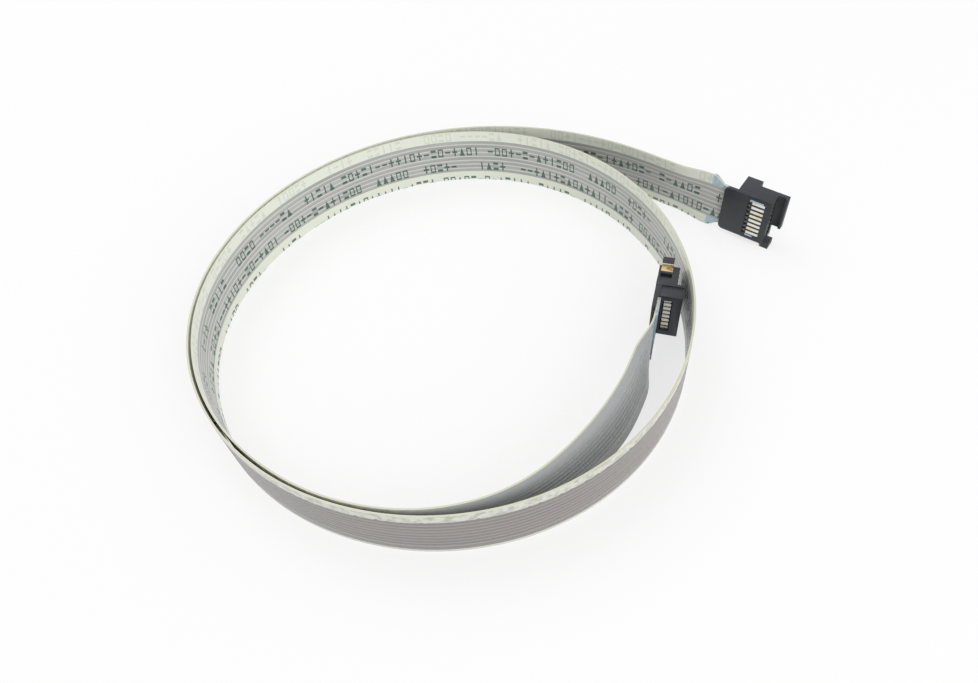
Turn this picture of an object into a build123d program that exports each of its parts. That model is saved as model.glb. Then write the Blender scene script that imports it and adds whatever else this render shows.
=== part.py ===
"""A flat flexible ribbon cable, coiled on edge, with a moulded connector on each end.

The ribbon stands on its lower edge and runs round the loop twice: the outer pass starts
at connector A, outside the loop, and the inner pass ends at connector B, inside it.
Both connectors are the same moulding, one of them turned over.
"""

import math
import os

from build123d import *

# Ribbon section
conductor_count = 8
pitch = 1.0
conductor_width = 0.7
conductor_thickness = 0.1
ribbon_thickness = 0.3
border_width = 2.15

# Ends of the ribbon, which are trimmed narrower, stiffened outside, and bared inside
end_border = 0.65
shoulder_rear = 4.4
shoulder_front = 2.7
ribbon_reach = 3.6
bared_length = 1.4
tape_thickness = 0.2
tape_rear = 5.0
tape_clearance = 0.05

# Route of the ribbon in plan: straight out of connector A, then arcs of equal turn
start_point = (54.85, 14.4)
start_heading = 138.0
arc_turn = 20.0
straight_a = 14.5
coil_arcs = 23
coil_radius = 41.4
lead_wider = [26.4, 17.2, 7.1, 3.2, 2.1]
coil_shrink = 0.75
oval_size = 1.6
oval_angle = 219.4
lobe_size = 2.8
lobe_angle = -108.9
tail_tighter = [8.1, 7.6, 8.6, -8.8]
last_wider = 7.4
last_turn = 10.0
straight_b = 5.0

# Housing: lengths are from the rear face, along the plugging direction
body_length = 6.65
block_length = 2.9
inner_depth = 0.85
outer_depth = 3.8
front_depth = 2.5
side_wall = 0.4
pocket_clearance = 0.1
pocket_length = 3.7

# Rear opening, which shows the tails of the contacts
comb_near = 0.7
comb_far = 2.25
comb_length = 2.0

# Contact, stamped from strip as a fork with two arms, a foot and an upright tail
contact_width = 0.6
contact_clearance = 0.05
contact_bar = 0.45
tail_rear = 0.4
tail_inner = 0.9
rail_outer = 2.1
fork_rear = 3.8
fork_root = 4.4
fork_tip = 6.3
tip_length = 0.5
tip_rise = 0.15
foot_rear = 2.4

# Front of the housing
window_rear = 3.1
window_front = 5.5
peep_rear = 2.4
peep_length = 0.45
nose_length = 1.85
nose_wall = 0.75
nose_height = 7.1
nose_hook = 0.35
nose_hook_length = 0.5

# Latch end of the housing
lug_setback = 0.45
lug_reach = 1.05
lug_outer = 1.4
lug_inner = 0.5
slot_rear = 4.0
slot_front = 5.0
slot_depth = 0.8
groove_rear = 1.6
groove_front = 2.4
groove_depth = 0.3
spring_thickness = 0.15
spring_tail = 0.9

# Clamping cover over the end of the ribbon
cover_rear = 2.3
cover_front = 2.3
cover_clearance = 0.05
cover_corner = 1.0

field_width = (conductor_count - 1) * pitch + conductor_width
ribbon_width = field_width + 2 * border_width
end_width = field_width + 2 * end_border
pocket_width = end_width + 2 * pocket_clearance
housing_height = pocket_width + 2 * side_wall
lug_rise = (ribbon_width - housing_height) / 2
lug_rear = body_length - lug_setback
lug_front = body_length + lug_reach
half_ribbon = ribbon_thickness / 2
half_core = conductor_thickness / 2
half_height = housing_height / 2
middle = ribbon_width / 2
pocket_top = half_ribbon + cover_clearance
pocket_bottom = half_ribbon + tape_thickness + tape_clearance
rail_inner = rail_outer - contact_bar
arm_top = contact_bar
channel_width = contact_width + 2 * contact_clearance
comb_width = (conductor_count - 1) * pitch + channel_width
row = [(i - (conductor_count - 1) / 2) * pitch for i in range(conductor_count)]


def coil_radii():
    """Bending radius of each arc of the coil, which shrinks a little and isn't quite round."""
    radii = []
    for k in range(coil_arcs):
        turned = k * arc_turn
        oval = oval_size * math.cos(math.radians(2 * turned - oval_angle))
        lobe = lobe_size * math.cos(math.radians(3 * turned - lobe_angle))
        radii.append(coil_radius - coil_shrink * turned / 360 + oval + lobe)
    return radii


lead_radii = [coil_radius + wider for wider in lead_wider]
tail_radii = [coil_radius - tighter for tighter in tail_tighter]
route_radii = lead_radii + coil_radii() + tail_radii
travel_a = Vector(1, 0, 0).rotate(Axis.Z, start_heading)
inside_a = travel_a.rotate(Axis.Z, 90)
mouth_a = Vector(*start_point, 0)


def trail(inward):
    """The ribbon's line in the open BuildLine, moved towards the inside of the loop."""
    tip = mouth_a - travel_a * ribbon_reach + inside_a * inward
    first = Line(tip, tip + travel_a * (ribbon_reach + straight_a))
    last = first
    for radius in route_radii:
        last = JernArc(last @ 1, last % 1, radius - inward, arc_turn)
    last = JernArc(last @ 1, last % 1, coil_radius + last_wider - inward, last_turn)
    last = Line(last @ 1, last @ 1 + (last % 1) * (straight_b + ribbon_reach))
    return first, last


def strip_outline(inner, outer):
    """Face in the open BuildSketch between two lines that follow the ribbon."""
    with BuildLine() as outline:
        first_in, last_in = trail(inner)
        first_out, last_out = trail(outer)
        Line(first_in @ 0, first_out @ 0)
        Line(last_in @ 1, last_out @ 1)
    make_face(outline.edges())


with BuildLine() as centre_line:
    first_run, last_run = trail(0)

travel_b = last_run % 1
mouth_b = last_run @ 1 - travel_b * ribbon_reach
ribbon_length = sum(edge.length for edge in centre_line.edges())
print(f"ribbon {ribbon_length:.1f} mm long, bending radii {[round(r, 1) for r in route_radii]}")

# Frame of each connector: X along the plugging direction, Y to the inside of the loop,
# Z to the latch end, which is down at A and up at B
frame_a = Plane(origin=mouth_a + Vector(0, 0, middle), x_dir=-travel_a, z_dir=(0, 0, -1))
frame_b = Plane(origin=mouth_b + Vector(0, 0, middle), x_dir=travel_b, z_dir=(0, 0, 1))
frames = {"a": frame_a, "b": frame_b}


def side_plane(frame, y):
    """Plane of a connector's broad side: X forward, Y to the latch end, at a depth."""
    return Plane(
        origin=frame.from_local_coords(Vector(0, y, 0)), x_dir=frame.x_dir, z_dir=-frame.y_dir
    )


def box(x0, x1, y0, y1):
    """Rectangle in the open BuildSketch between two corners."""
    with Locations(((x0 + x1) / 2, (y0 + y1) / 2)):
        Rectangle(x1 - x0, y1 - y0)


def shoulders(end):
    """What is trimmed off one edge of the ribbon's end, in the open BuildSketch."""
    with BuildLine() as outline:
        Polyline(
            (-shoulder_rear, end * middle),
            (-shoulder_front, end * end_width / 2),
            (ribbon_reach, end * end_width / 2),
            (ribbon_reach, end * (middle + border_width)),
            (-shoulder_rear, end * (middle + border_width)),
            close=True,
        )
    make_face(outline.edges())


finished = []


def keep(piece, label):
    """Name a finished piece and put it on the list that is written out."""
    piece.part.label = label
    finished.append(piece.part)


# Ribbon: two films and the flat conductors, which are bared on the inner side at each end
with BuildPart() as ribbon:
    with BuildSketch():
        strip_outline(half_ribbon, -half_ribbon)
    extrude(amount=ribbon_width)
    for frame in frames.values():
        with BuildSketch(side_plane(frame, 0)):
            shoulders(1)
            shoulders(-1)
        extrude(amount=ribbon_thickness, both=True, mode=Mode.SUBTRACT)
        with BuildSketch(frame.offset(-end_width / 2)):
            box(ribbon_reach - bared_length, ribbon_reach, half_core, half_ribbon)
        extrude(amount=end_width, mode=Mode.SUBTRACT)
        for height in row[1:]:
            with BuildSketch(frame.offset(height - pitch + conductor_width / 2)):
                box(ribbon_reach - bared_length, ribbon_reach, -half_core, half_core)
            extrude(amount=pitch - conductor_width, mode=Mode.SUBTRACT)
keep(ribbon, "ribbon")


def stiffener(frame):
    """Stiff tape on the outer side of the ribbon's end, trimmed like the ribbon."""
    with BuildPart() as tape:
        with BuildSketch(side_plane(frame, -half_ribbon)):
            box(-tape_rear, ribbon_reach, -middle, middle)
        extrude(amount=tape_thickness)
        with BuildSketch(side_plane(frame, -half_ribbon)):
            shoulders(1)
            shoulders(-1)
        extrude(amount=tape_thickness, mode=Mode.SUBTRACT)
    return tape


def contact(frame, height):
    """A stamped fork, with its foot on a conductor."""
    with BuildPart() as fork:
        with BuildSketch(frame.offset(height - contact_width / 2)):
            with BuildLine():
                Polyline(
                    (tail_rear, -rail_outer),
                    (fork_tip, -rail_outer),
                    (fork_tip, -rail_inner + tip_rise),
                    (fork_tip - tip_length, -rail_inner + tip_rise),
                    (fork_tip - 2 * tip_length, -rail_inner),
                    (fork_root, -rail_inner),
                    (fork_root, 0),
                    (fork_tip - 2 * tip_length, 0),
                    (fork_tip - tip_length, -tip_rise),
                    (fork_tip, -tip_rise),
                    (fork_tip, arm_top),
                    (foot_rear, arm_top),
                    (foot_rear, half_core),
                    (fork_rear, half_core),
                    (fork_rear, -rail_inner),
                    (tail_rear + contact_bar, -rail_inner),
                    (tail_rear + contact_bar, -tail_inner),
                    (tail_rear, -tail_inner),
                    close=True,
                )
            make_face()
        extrude(amount=contact_width)
    return fork


def housing(frame):
    """Moulded body with a pocket for the ribbon, a channel for each contact and a lug."""
    with BuildPart() as body:
        with BuildSketch(frame.offset(-half_height)):
            box(0, block_length, -outer_depth, -half_ribbon)
            box(block_length, body_length, -front_depth, -half_ribbon)
            box(cover_front, body_length, -half_ribbon, inner_depth)
        extrude(amount=housing_height)
        # The outer wall runs on as a keying nose with a small hook
        nose_front = body_length + nose_length
        with BuildSketch(frame.offset(-half_height)):
            box(body_length, nose_front, -front_depth, nose_wall - front_depth)
            box(
                nose_front - nose_hook_length,
                nose_front,
                nose_wall - front_depth,
                nose_wall - front_depth + nose_hook,
            )
        extrude(amount=nose_height)
        # Lug of the latch
        with BuildSketch(frame.offset(half_height)):
            box(lug_rear, body_length, -lug_outer, lug_inner)
        extrude(amount=lug_rise)
        with BuildSketch(frame.offset(half_height - side_wall)):
            box(body_length, lug_front, -lug_outer, lug_inner)
        extrude(amount=side_wall + lug_rise)
        # Pocket for the end of the ribbon and its tape
        with BuildSketch(frame.offset(-pocket_width / 2)):
            box(0, pocket_length, -pocket_bottom, pocket_top)
        extrude(amount=pocket_width, mode=Mode.SUBTRACT)
        # Comb opening in the rear face
        with BuildSketch(frame.offset(-comb_width / 2)):
            box(0, comb_length, -comb_far, -comb_near)
        extrude(amount=comb_width, mode=Mode.SUBTRACT)
        # Mating cavity, open to the front
        with BuildSketch(frame.offset(-comb_width / 2)):
            box(fork_root, body_length, -rail_inner, 0)
        extrude(amount=comb_width, mode=Mode.SUBTRACT)
        # A channel, a window and a peep hole for each contact
        for height in row:
            with BuildSketch(frame.offset(height - channel_width / 2)):
                box(tail_rear, fork_tip + contact_clearance, -rail_outer, -rail_inner)
                box(foot_rear - contact_clearance, fork_tip + contact_clearance, -rail_inner, arm_top)
                box(window_rear, window_front, arm_top, inner_depth)
                box(peep_rear, peep_rear + peep_length, pocket_top, inner_depth)
            extrude(amount=channel_width, mode=Mode.SUBTRACT)
        # Groove and slot across the latch end, and its bevelled rear edge
        with BuildSketch(frame.offset(half_height)):
            box(groove_rear, groove_front, -outer_depth, -half_ribbon)
        extrude(amount=-groove_depth, mode=Mode.SUBTRACT)
        with BuildSketch(frame.offset(half_height)):
            box(slot_rear, slot_front, -lug_outer, lug_inner)
        extrude(amount=-slot_depth, mode=Mode.SUBTRACT)
    return body


def cover(frame):
    """Clamping plate over the end of the ribbon, with a foot along each end."""
    with BuildPart() as plate:
        with BuildSketch(side_plane(frame, pocket_top)):
            box(-cover_rear, cover_front, -half_height, half_height)
        extrude(amount=pocket_top - inner_depth)
        with BuildSketch(side_plane(frame, pocket_top)):
            for end in (-1, 1):
                with Locations((cover_front / 2, end * (half_height - side_wall / 2))):
                    Rectangle(cover_front, side_wall)
        extrude(amount=pocket_top + half_ribbon)
        corners = plate.edges().filter_by(Axis(frame.origin, frame.y_dir))
        fillet(
            corners.filter_by(lambda edge: frame.to_local_coords(edge.center()).X < -cover_rear / 2),
            radius=cover_corner,
        )
    return plate


def lock_spring(frame):
    """Plated strip across the rear of the latch lug."""
    with BuildPart() as spring:
        with BuildSketch(side_plane(frame, lug_inner)):
            with BuildLine():
                Polyline(
                    (lug_rear - spring_tail, half_height),
                    (lug_rear - spring_thickness, half_height),
                    (lug_rear, half_height + lug_rise),
                    (lug_rear - spring_thickness, half_height + lug_rise),
                    (lug_rear - spring_thickness * 2, half_height + spring_thickness),
                    (lug_rear - spring_tail, half_height + spring_thickness),
                    close=True,
                )
            make_face()
        extrude(amount=lug_inner + lug_outer)
    return spring


for end, frame in frames.items():
    keep(stiffener(frame), f"stiffener_{end}")
    keep(housing(frame), f"housing_{end}")
    keep(cover(frame), f"cover_{end}")
    keep(lock_spring(frame), f"lock_spring_{end}")
    for number, height in enumerate(row, start=1):
        keep(contact(frame, height), f"contact_{end}{number}")

# The origin is under the middle of the whole cable
corners = [piece.bounding_box() for piece in finished]
centre_x = (min(c.min.X for c in corners) + max(c.max.X for c in corners)) / 2
centre_y = (min(c.min.Y for c in corners) + max(c.max.Y for c in corners)) / 2
print(f"loop centre at {-centre_x:.3f}, {-centre_y:.3f}")

os.makedirs("parts", exist_ok=True)
for piece in finished:
    label = piece.label
    export_step(piece.moved(Location((-centre_x, -centre_y, 0))), f"parts/{label}.step")
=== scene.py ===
# %% [markdown]
# # A flat ribbon cable, coiled on edge
#
# The cable is two clear films laminated round eight flat copper wires, with a black moulded connector
# on each end. It stands on its lower edge and runs nearly twice round its loop. The packed solids
# give the sizes and the places. This script brings them in, keeps the small stamped pieces and the
# tape, and puts a finer ribbon and softer moulded edges in place of the plain ones.

import math

import bmesh
import bpy
import numpy as np
from mathutils import Matrix, Vector


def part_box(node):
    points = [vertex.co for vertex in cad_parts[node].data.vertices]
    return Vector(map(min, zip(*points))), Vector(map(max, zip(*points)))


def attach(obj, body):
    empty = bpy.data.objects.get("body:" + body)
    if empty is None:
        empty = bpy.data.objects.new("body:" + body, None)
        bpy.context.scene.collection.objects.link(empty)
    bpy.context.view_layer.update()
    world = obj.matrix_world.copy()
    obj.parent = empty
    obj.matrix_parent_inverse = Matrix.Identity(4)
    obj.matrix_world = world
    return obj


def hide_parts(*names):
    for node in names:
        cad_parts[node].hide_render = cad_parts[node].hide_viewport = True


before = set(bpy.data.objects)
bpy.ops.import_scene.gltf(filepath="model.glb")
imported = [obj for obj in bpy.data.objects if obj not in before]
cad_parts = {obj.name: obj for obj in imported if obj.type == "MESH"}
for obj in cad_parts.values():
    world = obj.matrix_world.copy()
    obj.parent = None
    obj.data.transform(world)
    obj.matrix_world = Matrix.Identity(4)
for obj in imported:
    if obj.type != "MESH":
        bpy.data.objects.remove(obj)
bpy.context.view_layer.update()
scene = bpy.context.scene
mm = 0.001

# %% [markdown]
# The camera comes first, because every later look is judged through it. A camera can be aimed with a
# Track To constraint, but a written direction and a roll repeat exactly and need no helper object.
# The lens follows from the ratio of the picture's width to the distance at which it was fitted.

# %% Camera
camera_place = Vector((-3.430, -86.318, 109.406)) * mm
camera_forward = Vector((0, 0.60313, -0.79765))
camera_roll = math.radians(-7.731)
camera_lens = 28.70

level_right = camera_forward.cross(Vector((0, 0, 1))).normalized()
level_up = level_right.cross(camera_forward)
camera_right = level_right * math.cos(camera_roll) + level_up * math.sin(camera_roll)
camera_up = level_up * math.cos(camera_roll) - level_right * math.sin(camera_roll)

camera = bpy.data.objects.new("camera", bpy.data.cameras.new("camera"))
camera.data.lens = camera_lens
camera.data.clip_start = mm
camera_turn = Matrix((camera_right, camera_up, -camera_forward)).transposed()
camera.matrix_world = Matrix.Translation(camera_place) @ camera_turn.to_4x4()
scene.collection.objects.link(camera)
scene.camera = camera
print("camera at", tuple(round(v, 4) for v in camera_place))

# %% [markdown]
# The ribbon's route in plan is a straight run out of connector A, a chain of arcs that turn 20
# degrees each, and a short straight into connector B. The arcs have the radii of the packed ribbon,
# in mm. A plain circle would look drawn with a compass: a real coil shrinks a little with each turn,
# and it is slightly oval and slightly three-sided from the way it springs back.

# %% Bends of the ribbon
arc_turn = 20.0
lead_radii = [67.8, 58.6, 48.5, 44.6, 43.5]
tail_radii = [33.3, 33.8, 32.8, 50.2]
last_radius = 48.8
last_turn = 10.0
coil_arcs = 23
coil_start_radius = 41.4
coil_shrink = 0.75
oval_height, oval_phase = 1.6, -219.4
lobe_height, lobe_phase = 2.8, 108.9


def coil_radius(number):
    """Bending radius in mm of one arc of the coil."""
    turned = number * arc_turn
    oval = oval_height * math.cos(math.radians(2 * turned + oval_phase))
    lobe = lobe_height * math.cos(math.radians(3 * turned + lobe_phase))
    return coil_start_radius - coil_shrink * turned / 360 + oval + lobe


arcs = [(radius, arc_turn) for radius in lead_radii]
arcs += [(coil_radius(number), arc_turn) for number in range(coil_arcs)]
arcs += [(radius, arc_turn) for radius in tail_radii] + [(last_radius, last_turn)]
print("arcs:", len(arcs), "tightest:", round(min(radius for radius, turned in arcs), 1), "mm")

# %% [markdown]
# A quadratic NURBS curve follows such a chain of arcs closely when its control points are the corners
# where the arcs' tangents meet, so the loop below walks from tangent to tangent. An arc's corner lies
# its radius times the tangent of half its turn from its ends. The ribbon reaches a little way into
# each connector, and one more point on each straight keeps the curve straight there.

# %% Corners of the route
start_point = Vector((54.85, 14.4)) * mm
start_heading = 138.0
ribbon_reach = 3.6 * mm
straight_a = 14.5 * mm
straight_b = 5.0 * mm
near_a = 12.0 * mm
near_b = 4.5 * mm


def heading(degrees):
    """Unit vector in plan at an angle from X."""
    return Vector((math.cos(math.radians(degrees)), math.sin(math.radians(degrees))))


angle = start_heading
end = start_point - heading(angle) * ribbon_reach
corners = [end.copy(), end + heading(angle) * near_a]
end += heading(angle) * (ribbon_reach + straight_a)
for radius, turned in arcs:
    reach = radius * mm * math.tan(math.radians(turned / 2))
    corners.append(end + heading(angle) * reach)
    angle += turned
    end = corners[-1] + heading(angle) * reach
end += heading(angle) * (straight_b + ribbon_reach)
corners += [end - heading(angle) * near_b, end.copy()]
print("route:", len(corners), "points, last heading", angle % 360)

# %% [markdown]
# Blender evaluates the curve, and the ribbon's mesh then follows the evaluated points. Reading them
# back from the curve keeps the drawn ribbon on the curve's own line.

# %% Evaluate the curve
ribbon_width = 12 * mm
steps_per_corner = 24

route = bpy.data.curves.new("ribbon_route", "CURVE")
route.dimensions = "3D"
route.resolution_u = steps_per_corner
spline = route.splines.new("NURBS")
spline.points.add(len(corners) - 1)
for point, corner in zip(spline.points, corners):
    point.co = (corner.x, corner.y, ribbon_width / 2, 1)
spline.order_u = 3
spline.use_endpoint_u = True
route_object = bpy.data.objects.new("ribbon_route", route)
scene.collection.objects.link(route_object)
bpy.context.view_layer.update()
depsgraph = bpy.context.evaluated_depsgraph_get()
read_back = bpy.data.meshes.new_from_object(route_object.evaluated_get(depsgraph))
fine = np.array([vertex.co[:] for vertex in read_back.vertices])
bpy.data.meshes.remove(read_back)
bpy.data.objects.remove(route_object)
print("points on the curve:", len(fine))

# %% [markdown]
# The ribbon is built from rings, which have to be evenly spaced along it, while the curve's own
# points crowd where it bends. Each ring needs its place and the direction to the inside of the loop.
# The route is written round the middle of the loop, so it moves to where the packed ribbon's box is.

# %% Evenly spaced rings
ring_spacing = 0.75 * mm

walked = np.concatenate([[0], np.cumsum(np.linalg.norm(np.diff(fine, axis=0), axis=1))])
ribbon_length = float(walked[-1])
ring_count = round(ribbon_length / ring_spacing) + 1
along = np.linspace(0, ribbon_length, ring_count)
middle_line = np.stack([np.interp(along, walked, fine[:, i]) for i in range(3)], axis=1)

box_low, box_high = (np.array(corner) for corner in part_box("ribbon"))
route_middle = (middle_line.min(axis=0) + middle_line.max(axis=0)) / 2
middle_line[:, :2] += ((box_low + box_high) / 2 - route_middle)[:2]
tangents = np.gradient(middle_line, along, axis=0)
tangents /= np.linalg.norm(tangents, axis=1)[:, None]
inward = np.stack([-tangents[:, 1], tangents[:, 0], np.zeros(ring_count)], axis=1)
print(f"ribbon {ribbon_length / mm:.1f} mm long, {ring_count} rings")

# %% [markdown]
# The real ribbon isn't flat to the touch: each wire raises the film by a few hundredths of a
# millimetre. A bevelled curve would give the strip in one step, but a bevel can't be trimmed at its
# ends or lean where it should, so each face is a row of points across the ribbon: four in each
# border, and four round each wire, on the film beside it and on its raised flat.

# %% Cross-section of the ribbon
wire_count = 8
pitch = 1.0 * mm
wire_width = 0.7 * mm
wire_rise = 0.025 * mm
wire_shoulder = 0.09 * mm
border_gap = 0.3 * mm
border_steps = [1.0, 0.75, 0.5, 0.25]

wire_middles = [(wire - (wire_count - 1) / 2) * pitch for wire in range(wire_count)]
field_half = (wire_count * pitch - (pitch - wire_width)) / 2
border_start = field_half + border_gap
border_z = [border_start + (ribbon_width / 2 - border_start) * step for step in border_steps]
section = [(-z, 0.0) for z in border_z]
for wire_middle in wire_middles:
    for side_step, rise in ((-1, 0), (-1, 1), (1, 1), (1, 0)):
        half = wire_width / 2 - wire_shoulder * rise
        section.append((wire_middle + side_step * half, wire_rise * rise))
section += [(z, 0.0) for z in reversed(border_z)]
print("points across one face:", len(section))

# %% [markdown]
# The ribbon isn't quite upright where it nears a connector: the way in which it is held twists it a
# little, and its top edge leans to the inside of the loop. A smooth step in and out keeps the film
# free of kinks where the lean starts and stops. The ends are also trimmed narrower, with a shoulder.

# %% Lean and trim along the ribbon
end_width = 9.0 * mm
shoulder_rear = 4.4 * mm
shoulder_front = 2.7 * mm


def smooth(values, start, finish):
    """0 at start, 1 at finish, smooth between."""
    share = np.clip((values - start) / (finish - start), 0, 1)
    return share * share * (3 - 2 * share)


def leaning(distance, degrees, starts, full, eases, upright):
    """A lean that grows from starts to full and fades from eases to upright, in mm from a tip."""
    grown = smooth(distance, starts * mm, full * mm)
    return math.radians(degrees) * grown * (1 - smooth(distance, eases * mm, upright * mm))


from_b = ribbon_length - along
lean = leaning(along, degrees=7.0, starts=9, full=15, eases=20, upright=44)
lean += leaning(from_b, degrees=13.0, starts=8.6, full=16, eases=22, upright=52)
into_end = np.minimum(along, from_b) - ribbon_reach
trim = np.clip((into_end - shoulder_front) / (shoulder_rear - shoulder_front), 0, 1)
half_width = end_width / 2 + (ribbon_width - end_width) / 2 * trim
print("lean up to", round(math.degrees(lean.max()), 1), "degrees")

# %% [markdown]
# Each ring goes up the inner face and down the outer one. Every point also carries three numbers,
# the distance along the ribbon, the height across it and the side. They are stored on the mesh, and
# they later tell the film's colours where to go, however the ribbon bends.

# %% One ring of the ribbon
ribbon_thickness = 0.3 * mm


def ring_points(ring):
    """Points of one ring, each with its distance along, height across and side."""
    squeeze = (half_width[ring] - border_start) / (ribbon_width / 2 - border_start)
    tilt = lean[ring]
    for side in (1, -1):
        for z, rise in section[::side]:
            if abs(z) > border_start:
                z = math.copysign(border_start + (abs(z) - border_start) * squeeze, z)
            depth = side * (ribbon_thickness / 2 + rise)
            sideways = depth * math.cos(tilt) + z * math.sin(tilt)
            upwards = z * math.cos(tilt) - depth * math.sin(tilt)
            x, y, height = middle_line[ring] + inward[ring] * sideways
            yield (x, y, height + upwards), along[ring], z + ribbon_width / 2, float(side)


print("points in a ring:", len(list(ring_points(0))))

# %% [markdown]
# Rings joined by quads make the strip, and a flat cap closes either end, so each piece is one closed
# skin. The ribbon is made in two lengths, one for each pass round the loop.

# %% Build the two passes of the ribbon
film_crease = math.radians(40)
outer_pass_length = 250 * mm


def link_mesh(name, mesh):
    """An object with this mesh, in the scene."""
    made = bpy.data.objects.new(name, mesh)
    scene.collection.objects.link(made)
    return made


def shade_smooth(mesh, crease):
    """Smooth shading that stays sharp where faces meet at more than the crease angle."""
    mesh.polygons.foreach_set("use_smooth", [True] * len(mesh.polygons))
    mesh.set_sharp_from_angle(angle=crease)


def ribbon_pass(name, first, last):
    """A closed strip from ring first to ring last, with the film's coordinates on its vertices."""
    rows = [row for ring in range(first, last + 1) for row in ring_points(ring)]
    points, *stored = (list(column) for column in zip(*rows))
    across_count = len(section)
    ring_size = 2 * across_count
    faces = []
    for start in range(0, (last - first) * ring_size, ring_size):
        for i in range(ring_size):
            a, b = start + i, start + (i + 1) % ring_size
            faces.append((a, b, b + ring_size, a + ring_size))
    end_ring = (last - first) * ring_size
    for i in range(across_count - 1):
        j = ring_size - 1 - i
        faces.append((i, j, j - 1, i + 1))
        faces.append((end_ring + i + 1, end_ring + j - 1, end_ring + j, end_ring + i))
    mesh = bpy.data.meshes.new(name)
    mesh.from_pydata(points, [], faces)
    for key, values in zip(("along", "across", "side"), stored):
        mesh.attributes.new(key, "FLOAT", "POINT").data.foreach_set("value", values)
    shade_smooth(mesh, film_crease)
    mesh.update()
    print(name, "faces:", len(mesh.polygons), f"{(along[last] - along[first]) / mm:.1f} mm")
    return link_mesh(name, mesh)


split_ring = int(round(outer_pass_length / ring_spacing))
outer_pass = ribbon_pass("ribbon_outer_pass", 0, split_ring)
inner_pass = ribbon_pass("ribbon_inner_pass", split_ring, ring_count - 1)

# %% [markdown]
# Shader maths reads best as ordinary arithmetic. This small class wraps one socket of a node, and the
# operators add the Math nodes behind the scenes. Its node method makes every other kind of node:
# settings go in first, because some of them change which sockets a node has.


# %% A wrapper for shader sockets
class Wire:
    """A node's output, on which arithmetic builds further nodes."""

    def __init__(self, tree, socket=None):
        self.tree = tree
        self.socket = socket

    def node(self, kind, settings=None, sockets=None, output=0):
        """Any node: its type, its settings, then the values or links of its sockets."""
        made = self.tree.nodes.new(kind)
        for name, value in (settings or {}).items():
            setattr(made, name, value)
        set_sockets(made, sockets or {})
        return Wire(self.tree, made.outputs[output])

    def maths(self, operation, *values):
        """One Math node."""
        return self.node("ShaderNodeMath", {"operation": operation}, dict(enumerate(values)))

    def __add__(self, other):
        return self.maths("ADD", self, other)

    def __radd__(self, other):
        return self.maths("ADD", other, self)

    def __sub__(self, other):
        return self.maths("SUBTRACT", self, other)

    def __rsub__(self, other):
        return self.maths("SUBTRACT", other, self)

    def __mul__(self, other):
        return self.maths("MULTIPLY", self, other)

    def __rmul__(self, other):
        return self.maths("MULTIPLY", other, self)

    def __truediv__(self, other):
        return self.maths("DIVIDE", self, other)

    def __rtruediv__(self, other):
        return self.maths("DIVIDE", other, self)

    def __gt__(self, other):
        return self.maths("GREATER_THAN", self, other)

    def __lt__(self, other):
        return self.maths("LESS_THAN", self, other)

    def __abs__(self):
        return self.maths("ABSOLUTE", self)

    def floor(self):
        """The whole number below."""
        return self.maths("FLOOR", self)

    def least(self, other):
        """The smaller of two values."""
        return self.maths("MINIMUM", self, other)

    def most(self, other):
        """The larger of two values, or where either of two masks is 1."""
        return self.maths("MAXIMUM", self, other)

    def noise(self, scale, detail=2.0):
        """Smooth noise from 0 to 1 at this vector."""
        sockets = {"Vector": self, "Scale": scale, "Detail": detail}
        return self.node("ShaderNodeTexNoise", None, sockets, "Fac")

    def ramp(self, start, finish):
        """0 at start and 1 at finish."""
        sockets = {"Value": self, "From Min": start, "From Max": finish}
        return self.node("ShaderNodeMapRange", None, sockets)

    def blend(self, low, high):
        """The colour low where this mask is 0, high where it is 1."""
        chosen = {0: self, 6: low, 7: high}
        return self.node("ShaderNodeMix", {"data_type": "RGBA"}, chosen, 2)


def set_sockets(node, sockets):
    """Give a node's sockets what they take: a Wire is linked, anything else is a plain value."""
    for name, value in sockets.items():
        if isinstance(value, Wire):
            value.tree.links.new(value.socket, node.inputs[name])
        else:
            node.inputs[name].default_value = value


print("methods of a Wire:", *[name for name in vars(Wire) if callable(vars(Wire)[name])])

# %% [markdown]
# Every finish starts from the Principled shader, which a new material already has. The colours are
# noted as a picture shows them, from 0 to 255, and shaders need them in linear light.


# %% Helpers for materials
def material(name):
    """A new material, its Principled shader, and a Wire to start from."""
    made = bpy.data.materials.new(name)
    made.use_nodes = True
    return made, made.node_tree.nodes["Principled BSDF"], Wire(made.node_tree)


def in_object(start):
    """The place on the object, in metres."""
    return start.node("ShaderNodeTexCoord", None, None, "Object")


def colour(red, green, blue):
    """The linear values of a colour given from 0 to 255."""
    linear = []
    for value in (red, green, blue):
        share = value / 255
        linear.append(share / 12.92 if share <= 0.04045 else ((share + 0.055) / 1.055) ** 2.4)
    return (*linear, 1.0)


print("a mid grey of 128 is", round(colour(128, 128, 128)[0], 3), "in linear light")

# %% [markdown]
# The film is clear at the borders, where cream adhesive shows through it, and grey over the tinned
# wires, with a thin pale line between each wire and the next. The three numbers on the mesh say where
# a point is on the flat ribbon. Stretched noise gives the wires the long streaks of drawn metal, and
# finer noise makes the ragged edge of the adhesive.

# %% Coordinates and stripes of the film
face_from = 0.9
line_half_mm = 0.13
streak_along, streak_across, streak_scale = 0.02, 0.5, 2.0
ragged_scale, ragged_detail = 0.8, 4.0
width_mm = ribbon_width / mm
field_mm = field_half / mm

film, film_shader, film_start = material("ribbon_film")
film_along, film_across, film_side = (
    film_start.node("ShaderNodeAttribute", {"attribute_name": name}, None, "Fac")
    for name in ("along", "across", "side")
)
along_mm = film_along * 1000
across_mm = film_across * 1000
is_inner = film_side > face_from
is_outer = film_side < -face_from
in_field = abs(across_mm - width_mm / 2) < field_mm
wire_phase = across_mm - across_mm.floor()
gap_line = wire_phase.least(1 - wire_phase) < line_half_mm


def film_vector(x, y):
    """A vector from two values."""
    return film_start.node("ShaderNodeCombineXYZ", None, {"X": x, "Y": y})


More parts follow.
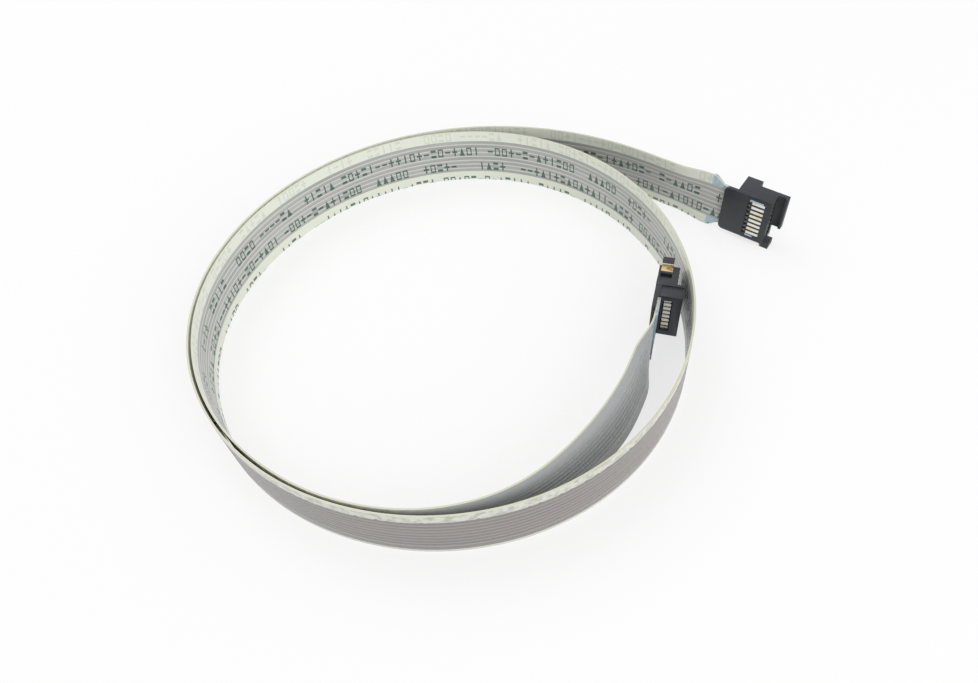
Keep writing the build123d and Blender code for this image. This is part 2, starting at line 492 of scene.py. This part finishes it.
streaks = film_vector(along_mm * streak_along, across_mm * streak_across).noise(streak_scale)
ragged = film_vector(along_mm, across_mm).noise(ragged_scale, ragged_detail)
print("film nodes so far:", len(film.node_tree.nodes))

# %% [markdown]
# Rows of dark green printed marks run along the inner face. A painted picture would blur up close, so
# they are worked out from the coordinates. Each mark sits in a cell of its own, and the rows are
# shifted against each other by a part of a cell. The cell's number picks the mark by way of white
# noise, and a second, coarser number leaves whole cells bare, so the marks come in groups.

# %% Cells of the printed marks
cell_mm = 1.45
row_pitch_mm = 3.7
row_base_mm = -2.0
row_height_mm = 2.0
row_shift = 31.4
group_cells = 7
group_least = 3.0
group_spread = 3.6


def random_value(seed):
    """A random value from 0 to 1 for each whole number."""
    return film_start.node("ShaderNodeTexWhiteNoise", {"noise_dimensions": "1D"}, {"W": seed}, "Value")


row_number = ((across_mm - row_base_mm) / row_pitch_mm).floor()
above_base = across_mm - row_base_mm - row_number * row_pitch_mm
row_depth = (above_base - row_pitch_mm / 2) / row_height_mm
cell_place = along_mm / cell_mm + row_number * row_shift
cell_number = cell_place.floor()
cell_depth = cell_place - cell_number - 0.5
pick = random_value(cell_number)
group_number = (cell_number / group_cells).floor()
group_length = group_least + random_value(group_number + 0.5) * group_spread
in_group = (cell_number - group_number * group_cells) < group_length
print("cells along the ribbon:", round(ribbon_length / mm / cell_mm))

# %% [markdown]
# Inside a cell, two depths run from -0.5 to 0.5 across the mark. Comparing them with half widths
# draws boxes, and boxes added, taken away or tapered give hollow squares, bars, crosses and wedges.

# %% Shapes of the printed marks
mark_half = 0.36
hole_half, hole_half_height = 0.21, 0.32
stroke_half = 0.1
bar_half = 0.12
twin_height, twin_half = 0.34, 0.15

aside = abs(cell_depth)
height = abs(row_depth)
mark_box = (aside < mark_half) * (height < 0.5)
hollow = mark_box - (aside < hole_half) * (height < hole_half_height)
upright = mark_box * (aside < stroke_half)
level_bar = mark_box * (height < bar_half)
cross = upright.most(level_bar)
wedge = mark_box * (aside < (0.5 - row_depth) * mark_half)
twin = mark_box * (abs(height - twin_height) < twin_half)
kinds = [hollow, upright, cross, wedge, twin, level_bar]
mark = hollow * 0.0
for number, kind in enumerate(kinds):
    mark = mark + kind * (pick > number / len(kinds)) * (pick < (number + 1) / len(kinds))
printed = mark * in_group
print("kinds of printed mark:", len(kinds))

# %% [markdown]
# The inner face shows the wires through clear film, and the tape's blue shows through at both ends.
# The print is fainter near the top edge.

# %% Colours of the inner face
cream = colour(232, 235, 222)
wire_grey = colour(184, 184, 180)
wire_shade = colour(164, 165, 161)
line_pale = colour(212, 213, 207)
print_green = colour(16, 84, 60)
tape_through = colour(168, 198, 214)
tape_rear = 5.0 * mm
tape_cover = 0.8
faint_from_mm = 8.9
print_faint, print_gain = 0.14, 0.72
inner_streaks = (0.35, 0.65)

wires_inside = streaks.ramp(*inner_streaks).blend(wire_shade, wire_grey)
inner_field = gap_line.blend(wires_inside, line_pale)
taped_from = ribbon_reach + tape_rear
taped = (film_along < taped_from).most(film_along > ribbon_length - taped_from)
border = (taped * tape_cover).blend(cream, tape_through)
inner_face = in_field.blend(border, inner_field)
print_strength = (across_mm < faint_from_mm) * print_gain + print_faint
inner_face = (printed * print_strength).blend(inner_face, print_green)
print("tape shows for", round(taped_from / mm, 1), "mm")

# %% [markdown]
# The outer face is mauve over the wires, with a mottled pale border at the top whose lower edge
# wanders, and a pale rim at the bottom. Towards connector B it turns a plain light grey: a painted
# reflection, the sheen of the shiny film where it leans towards the light. The thin edges, where the
# two films meet, are a pale olive.

# %% Colours of the outer face and the edges
mauve = colour(134, 127, 122)
mauve_cool = colour(122, 121, 121)
mauve_line = colour(147, 140, 135)
mottled_pale = colour(212, 214, 203)
mottled_dark = colour(174, 178, 166)
tail_sheen_grey = colour(192, 193, 196)
edge_olive = colour(206, 206, 182)
mottle_gap_mm, mottle_wander_mm = 0.25, 1.6
lower_rim_mm = 0.7
tail_from, tail_full = 425 * mm, 455 * mm
outer_streaks = (0.3, 0.7)
mottle_span = (0.36, 0.56)

wires_outside = streaks.ramp(*outer_streaks).blend(mauve_cool, mauve)
outer_field = gap_line.blend(wires_outside, mauve_line)
mottled = ragged.ramp(*mottle_span).blend(mottled_dark, mottled_pale)
field_top = width_mm / 2 + field_mm + mottle_gap_mm + (ragged - 0.5) * mottle_wander_mm
outer_face = (across_mm > field_top).blend(outer_field, mottled)
outer_face = (across_mm < lower_rim_mm).blend(outer_face, mottled_pale)
# Painted reflection: the light grey towards connector B stands for the film's sheen, not its colour.
outer_face = film_along.ramp(tail_from, tail_full).blend(outer_face, tail_sheen_grey)
faces = is_inner.blend(outer_face, inner_face)
edges = (1 - is_inner) * (1 - is_outer)
film_colour = edges.blend(faces, edge_olive)
set_sockets(film_shader, {"Base Color": film_colour, "Roughness": 0.27, "IOR": 1.5})
print("film nodes:", len(film.node_tree.nodes))

# %% [markdown]
# The tape is a matt light blue film. The moulded parts are black glass-filled plastic: never quite
# one black, and with a grain too fine to model, so noise varies the colour and the gloss and a Bump
# node raises the grain.

# %% Tape and plastic
tape_blue = colour(168, 193, 210)
black_deep = colour(33, 35, 40)
black_pale = colour(46, 48, 54)
grain_scale, grain_detail, grain_height = 9000.0, 3.0, 0.02 * mm
cast_scale = 350.0
rough_least, rough_spread = 0.38, 0.16

tape, tape_shader, _ = material("stiffening_tape")
set_sockets(tape_shader, {"Base Color": tape_blue, "Roughness": 0.45})

plastic, plastic_shader, plastic_start = material("housing_plastic")
grain = in_object(plastic_start).noise(grain_scale, grain_detail)
cast = in_object(plastic_start).noise(cast_scale)
bump = {"Strength": 0.25, "Distance": grain_height, "Height": grain}
plastic_finish = {
    "Base Color": cast.blend(black_deep, black_pale),
    "Roughness": rough_least + cast * rough_spread,
    "Normal": plastic_start.node("ShaderNodeBump", None, bump, "Normal"),
}
set_sockets(plastic_shader, plastic_finish)
print("plastic nodes:", len(plastic.node_tree.nodes))

# %% [markdown]
# The stamped metal is bright plating over copper. On the contacts the plating shows warmer patches,
# and on the lock strips it is worn through to the copper in places.

# %% Plating
tin_bright = colour(242, 241, 236)
tin_warm = colour(238, 220, 168)
pale_gold = colour(226, 214, 172)
bare_copper = colour(176, 104, 66)
patch_scale, patch_span = 700.0, (0.5, 0.72)
worn_scale, worn_span = 1500.0, (0.52, 0.66)

plating, plating_shader, plating_start = material("contact_plating")
patches = in_object(plating_start).noise(patch_scale).ramp(*patch_span)
plating_colour = patches.blend(tin_bright, tin_warm)
set_sockets(plating_shader, {"Base Color": plating_colour, "Metallic": 0.55, "Roughness": 0.4})

spring_metal, spring_shader, spring_start = material("spring_plating")
worn = in_object(spring_start).noise(worn_scale).ramp(*worn_span)
spring_colour = worn.blend(pale_gold, bare_copper)
set_sockets(spring_shader, {"Base Color": spring_colour, "Metallic": 0.8, "Roughness": 0.36})
print("materials:", [m.name for m in bpy.data.materials])

# %% [markdown]
# Moulded plastic never has knife edges: the mould's own radius catches a thin line of light along
# every corner. The packed housings are plain solids, so each gets a copy whose sharp edges are
# rounded by a few hundredths of a millimetre. The copy takes the solid's place exactly.

# %% Rounded copies of the moulded parts
housing_round = 0.06 * mm
cover_round = 0.09 * mm
weld = mm / 1000
flat_angle = math.radians(1)
sharp_angle = math.radians(30)
moulded_crease = math.radians(35)
round_shape = {"segments": 2, "profile": 0.5, "affect": "EDGES"}


def softened(node, name, width):
    """A copy of a solid with its sharp edges rounded, which takes the solid's place."""
    shape = bmesh.new()
    shape.from_mesh(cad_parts[node].data)
    bmesh.ops.remove_doubles(shape, verts=shape.verts, dist=weld)
    bmesh.ops.dissolve_limit(shape, angle_limit=flat_angle, verts=shape.verts, edges=shape.edges)
    sharp = [
        edge for edge in shape.edges
        if edge.is_manifold and edge.calc_face_angle() > sharp_angle
    ]
    bmesh.ops.bevel(shape, geom=sharp, offset=width, clamp_overlap=True, **round_shape)
    mesh = bpy.data.meshes.new(name)
    shape.to_mesh(mesh)
    shape.free()
    shade_smooth(mesh, moulded_crease)
    mesh.materials.append(plastic)
    made = link_mesh(name, mesh)
    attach(made, "root")
    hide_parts(node)
    print(name, "faces:", len(mesh.polygons))
    return made


bodies = {end: softened(f"housing_{end}", f"body_{end}", housing_round) for end in "ab"}
plates = {end: softened(f"cover_{end}", f"plate_{end}", cover_round) for end in "ab"}

# %% [markdown]
# The stamped contacts, the lock strips and the tape are right as solids. They only need their finish,
# which goes into the material slot that the solid already has.

# %% Finishes of the kept solids
kept = {"stiffener": tape, "contact": plating, "lock_spring": spring_metal}
for name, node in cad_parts.items():
    for start, finish in kept.items():
        if name.startswith(start):
            node.data.materials.clear()
            node.data.materials.append(finish)
print("solids kept:", sum(name.startswith(tuple(kept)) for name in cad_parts))

# %% [markdown]
# The small pieces in a connector are easiest to place in its own frame: forward, towards the inside
# of the loop, and towards the latch end. The ribbon's end gives that frame, and connector A is
# turned over, so its latch end is down.


# %% Frame of each connector
def connector_frame(tip, forward, turned_over):
    """Matrix of a connector: X forward, Y to the inside of the loop, Z to the latch end."""
    forward = Vector((forward[0], forward[1], 0)).normalized()
    latch = Vector((0, 0, -1 if turned_over else 1))
    inside = latch.cross(forward)
    origin = Vector(tip) - forward * ribbon_reach
    turn = Matrix((forward, inside, latch)).transposed().to_4x4()
    return Matrix.Translation(origin) @ turn


connector_frames = {
    "a": connector_frame(middle_line[0], -tangents[0], True),
    "b": connector_frame(middle_line[-1], tangents[-1], False),
}
print("connectors at", [tuple(round(v, 4) for v in m.translation) for m in connector_frames.values()])

# %% [markdown]
# In the window of each connector the stamped blades lie almost flush with the face, as bright bars
# with thin dark lines between them, and a moulded ledge closes each end of the row. The ledges take
# the tape's pale finish as a painted highlight, for the light that the black moulding catches there.
# Small rounded boxes are enough for both. Their corners are in mm, in the connector's own frame.

# %% Blades and ledges in the windows
blade_rear, blade_front = 3.12, 5.48
blade_back, blade_face = 0.45, 0.76
blade_half = 0.33
blade_round = 0.03 * mm
ledge_boxes = [((3.1, 0.8, 3.9), (4.5, 0.9, 4.25)), ((2.7, 0.8, -4.25), (5.2, 0.9, -3.9))]
ledge_round = 0.02 * mm


def blocks(name, place, boxes, finish, round_off):
    """One piece made of small rounded boxes, each given as low and high corners in mm."""
    shape = bmesh.new()
    for low, high in boxes:
        for vertex in bmesh.ops.create_cube(shape, size=1.0)["verts"]:
            for axis in range(3):
                share = vertex.co[axis] + 0.5
                vertex.co[axis] = (low[axis] + (high[axis] - low[axis]) * share) * mm
    bmesh.ops.bevel(shape, geom=shape.edges[:], offset=round_off, **round_shape)
    shape.transform(place)
    mesh = bpy.data.meshes.new(name)
    shape.to_mesh(mesh)
    shape.free()
    mesh.materials.append(finish)
    made = link_mesh(name, mesh)
    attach(made, "root")
    print(name, "boxes:", len(boxes))
    return made


blade_boxes = []
for z in [wire_middle / mm for wire_middle in wire_middles]:
    low, high = (blade_rear, blade_back, z - blade_half), (blade_front, blade_face, z + blade_half)
    blade_boxes.append((low, high))
blades, highlit_ledges = {}, {}
for end, place in connector_frames.items():
    blades[end] = blocks(f"blades_{end}", place, blade_boxes, plating, blade_round)
    # Painted highlight: the ledges of the black moulding get the pale tape finish for the light they
    # catch.
    highlit_ledges[end] = blocks(f"ledges_{end}", place, ledge_boxes, tape, ledge_round)

# %% [markdown]
# The ribbon is one flat cable, made in two lengths that meet, each under a turn. The first leaves
# connector A and goes on in the second, which ends in connector B; B's pieces are gathered in a list.

for piece in (outer_pass, inner_pass):
    piece.data.materials.append(film)
    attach(piece, "root")
    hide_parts("ribbon")

on_end_b = [bodies["b"], plates["b"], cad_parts["stiffener_b"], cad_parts["lock_spring_b"]]
on_end_b += [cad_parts[f"contact_b{number}"] for number in range(1, wire_count + 1)]
on_end_b += [blades["b"], highlit_ledges["b"]]
print(f"declared {along[split_ring]:.4f} and {ribbon_length - along[split_ring]:.4f} m")

# %% [markdown]
# The cable lies on a plain white sheet. A plain diffuse floor would render as light grey under a
# level light, so for the camera part of it glows white, which keeps the shadow but not the grey.
# Mirrored and transmitted rays see the same glow, so that metal shows a white room too.

# %% Floor
floor_half = 5.0
floor_glow = 0.72


def background_rays(start):
    """1 for the rays that show the surroundings: the camera's, mirrored and transmitted ones."""
    camera_ray, glossy_ray, transmission_ray = (
        start.node("ShaderNodeLightPath", None, None, f"Is {kind} Ray")
        for kind in ("Camera", "Glossy", "Transmission")
    )
    return camera_ray.most(glossy_ray).most(transmission_ray)


floor_mesh = bpy.data.meshes.new("floor")
square = [(-floor_half, -floor_half, 0), (floor_half, -floor_half, 0)]
square += [(floor_half, floor_half, 0), (-floor_half, floor_half, 0)]
floor_mesh.from_pydata(square, [], [(0, 1, 2, 3)])
floor = link_mesh("floor", floor_mesh)
floor_paint, floor_shader, floor_start = material("floor_paint")
set_sockets(floor_shader, {"Base Color": (0.92, 0.92, 0.92, 1), "Roughness": 0.9})
matt = Wire(floor_paint.node_tree, floor_shader.outputs["BSDF"])
white = (1, 1, 1, 1)
glow = floor_start.node("ShaderNodeEmission", None, {"Color": white, "Strength": 1.0}, "Emission")
glowing = {0: background_rays(floor_start) * floor_glow, 1: matt, 2: glow}
both = floor_start.node("ShaderNodeMixShader", None, glowing)
set_sockets(floor_paint.node_tree.nodes["Material Output"], {"Surface": both})
floor_mesh.materials.append(floor_paint)
print("floor", 2 * floor_half, "m wide")

# %% [markdown]
# The light is a bright, even room with two soft lamps. The world gives about half of the level, and
# the lamps give the rest, so a surface renders about as its colour is written. The lamps' size keeps
# the highlights on the film long and soft.

# %% Lights
room_level = 0.62

world = bpy.data.worlds.new("room")
scene.world = world
world.use_nodes = True
room_strength = room_level + background_rays(Wire(world.node_tree)) * (1 - room_level)
set_sockets(world.node_tree.nodes["Background"], {"Color": white, "Strength": room_strength})


def lamp(name, place, size, watts):
    """A square soft lamp aimed at the middle of the loop."""
    data = bpy.data.lights.new(name, "AREA")
    data.size = size
    data.energy = watts
    made = bpy.data.objects.new(name, data)
    made.location = place
    made.rotation_euler = (-Vector(place)).to_track_quat("-Z", "Y").to_euler()
    scene.collection.objects.link(made)
    print(name, watts, "W")


lamp("key", place=(-0.25, 0.30, 0.55), size=0.45, watts=1.3)
lamp("fill", place=(0.30, -0.45, 0.40), size=0.5, watts=1.9)
scene.view_settings.view_transform = "Standard"

# %% [markdown]
# The dressed model must stay inside the box of the packed solids.
